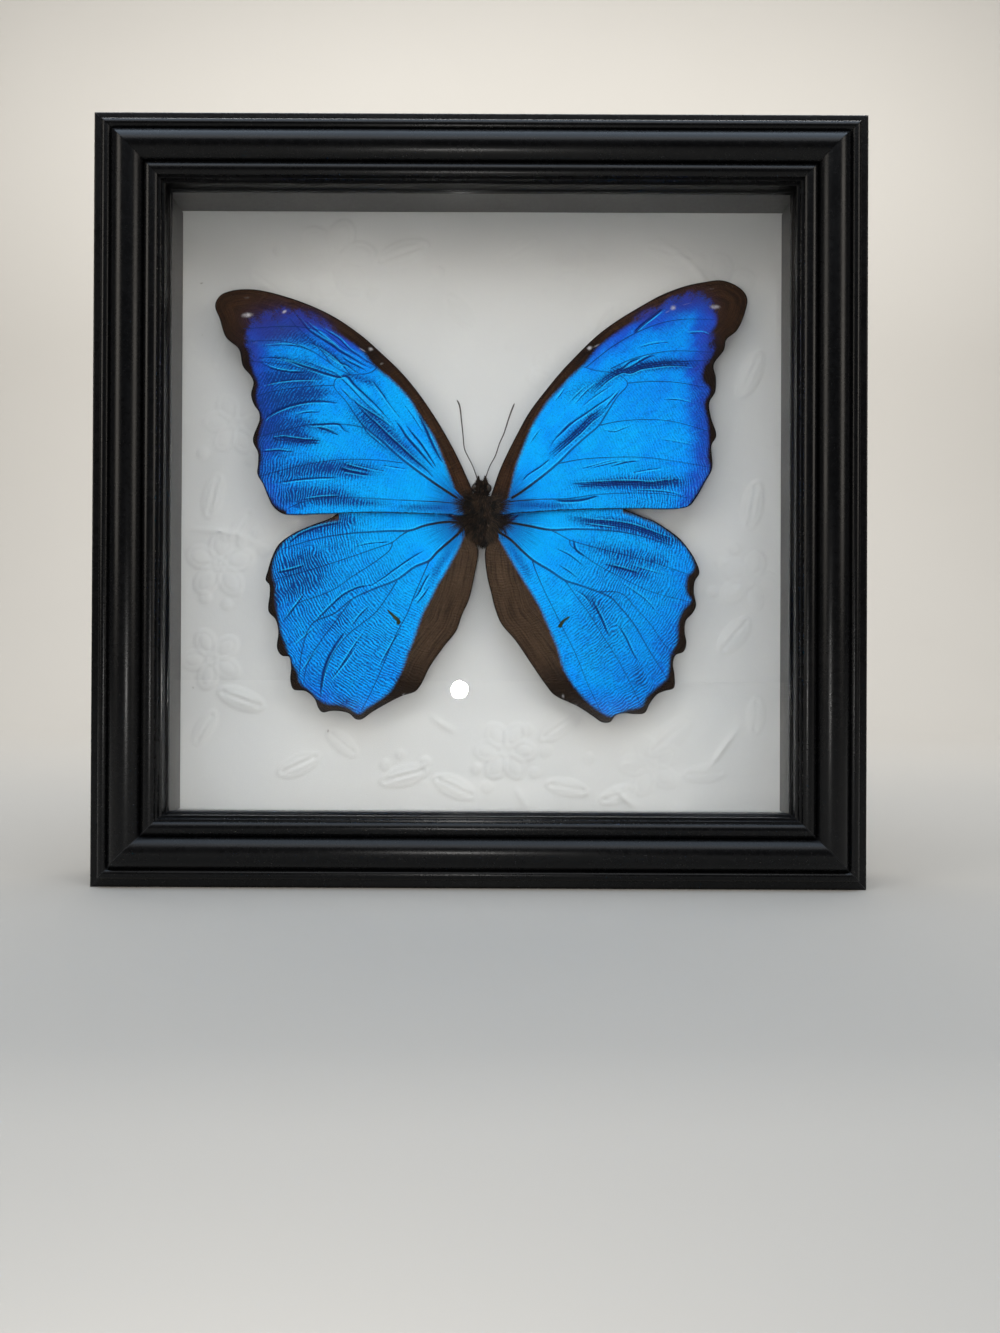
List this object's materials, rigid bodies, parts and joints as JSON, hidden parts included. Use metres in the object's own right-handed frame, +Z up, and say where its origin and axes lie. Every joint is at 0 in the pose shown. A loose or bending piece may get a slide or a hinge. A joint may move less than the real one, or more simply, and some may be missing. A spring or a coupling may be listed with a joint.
{
  "type": "framed butterfly specimen",
  "caption": "Spread blue butterfly mounted on embossed white paper in a small square box frame with a stepped black moulding and a glass front; stands or hangs.",
  "frame": {"origin": "centre of the bounding box's bottom face, under the middle of the bottom rail", "axes": "+X to the right of a person looking at the glass, +Y from the glass through the box to its back, +Z up"},
  "size_m": [0.2, 0.0322, 0.2],
  "materials": {
    "black_paint": "satin black paint with a fine stipple on a wooden moulding",
    "clear_glass": "clear float glass, cut edges",
    "spacer_card": "matte dark grey card, slightly worn",
    "white_paper": "thick white paper, embossed, matte",
    "brown_board": "pressed brown board, matte",
    "zinc_steel": "zinc plated sheet steel, dull",
    "blue_scales": "insect wing with shining blue scales, dark brown border",
    "brown_fur": "dense dark brown insect hair",
    "dark_horn": "grey brown insect horn, low sheen"
  },
  "bodies": {
    "root": {"rail_bottom": "black_paint", "rail_right": "black_paint", "rail_top": "black_paint", "rail_left": "black_paint", "glass_pane": "clear_glass", "spacer_bottom": "spacer_card", "spacer_top": "spacer_card", "spacer_left": "spacer_card", "spacer_right": "spacer_card", "backing_paper": "white_paper", "backing_board": "brown_board", "retainer_1": "zinc_steel", "retainer_2": "zinc_steel", "retainer_3": "zinc_steel", "retainer_4": "zinc_steel", "retainer_5": "zinc_steel", "retainer_6": "zinc_steel", "retainer_7": "zinc_steel", "retainer_8": "zinc_steel", "hanger_plate": "zinc_steel", "hanger_nail_left": "zinc_steel", "hanger_nail_right": "zinc_steel", "body": "brown_fur", "antenna_left": "dark_horn", "antenna_right": "dark_horn", "forewing_left": "blue_scales", "forewing_right": "blue_scales", "hindwing_left": "blue_scales", "hindwing_right": "blue_scales"}
  },
  "joints": []
}
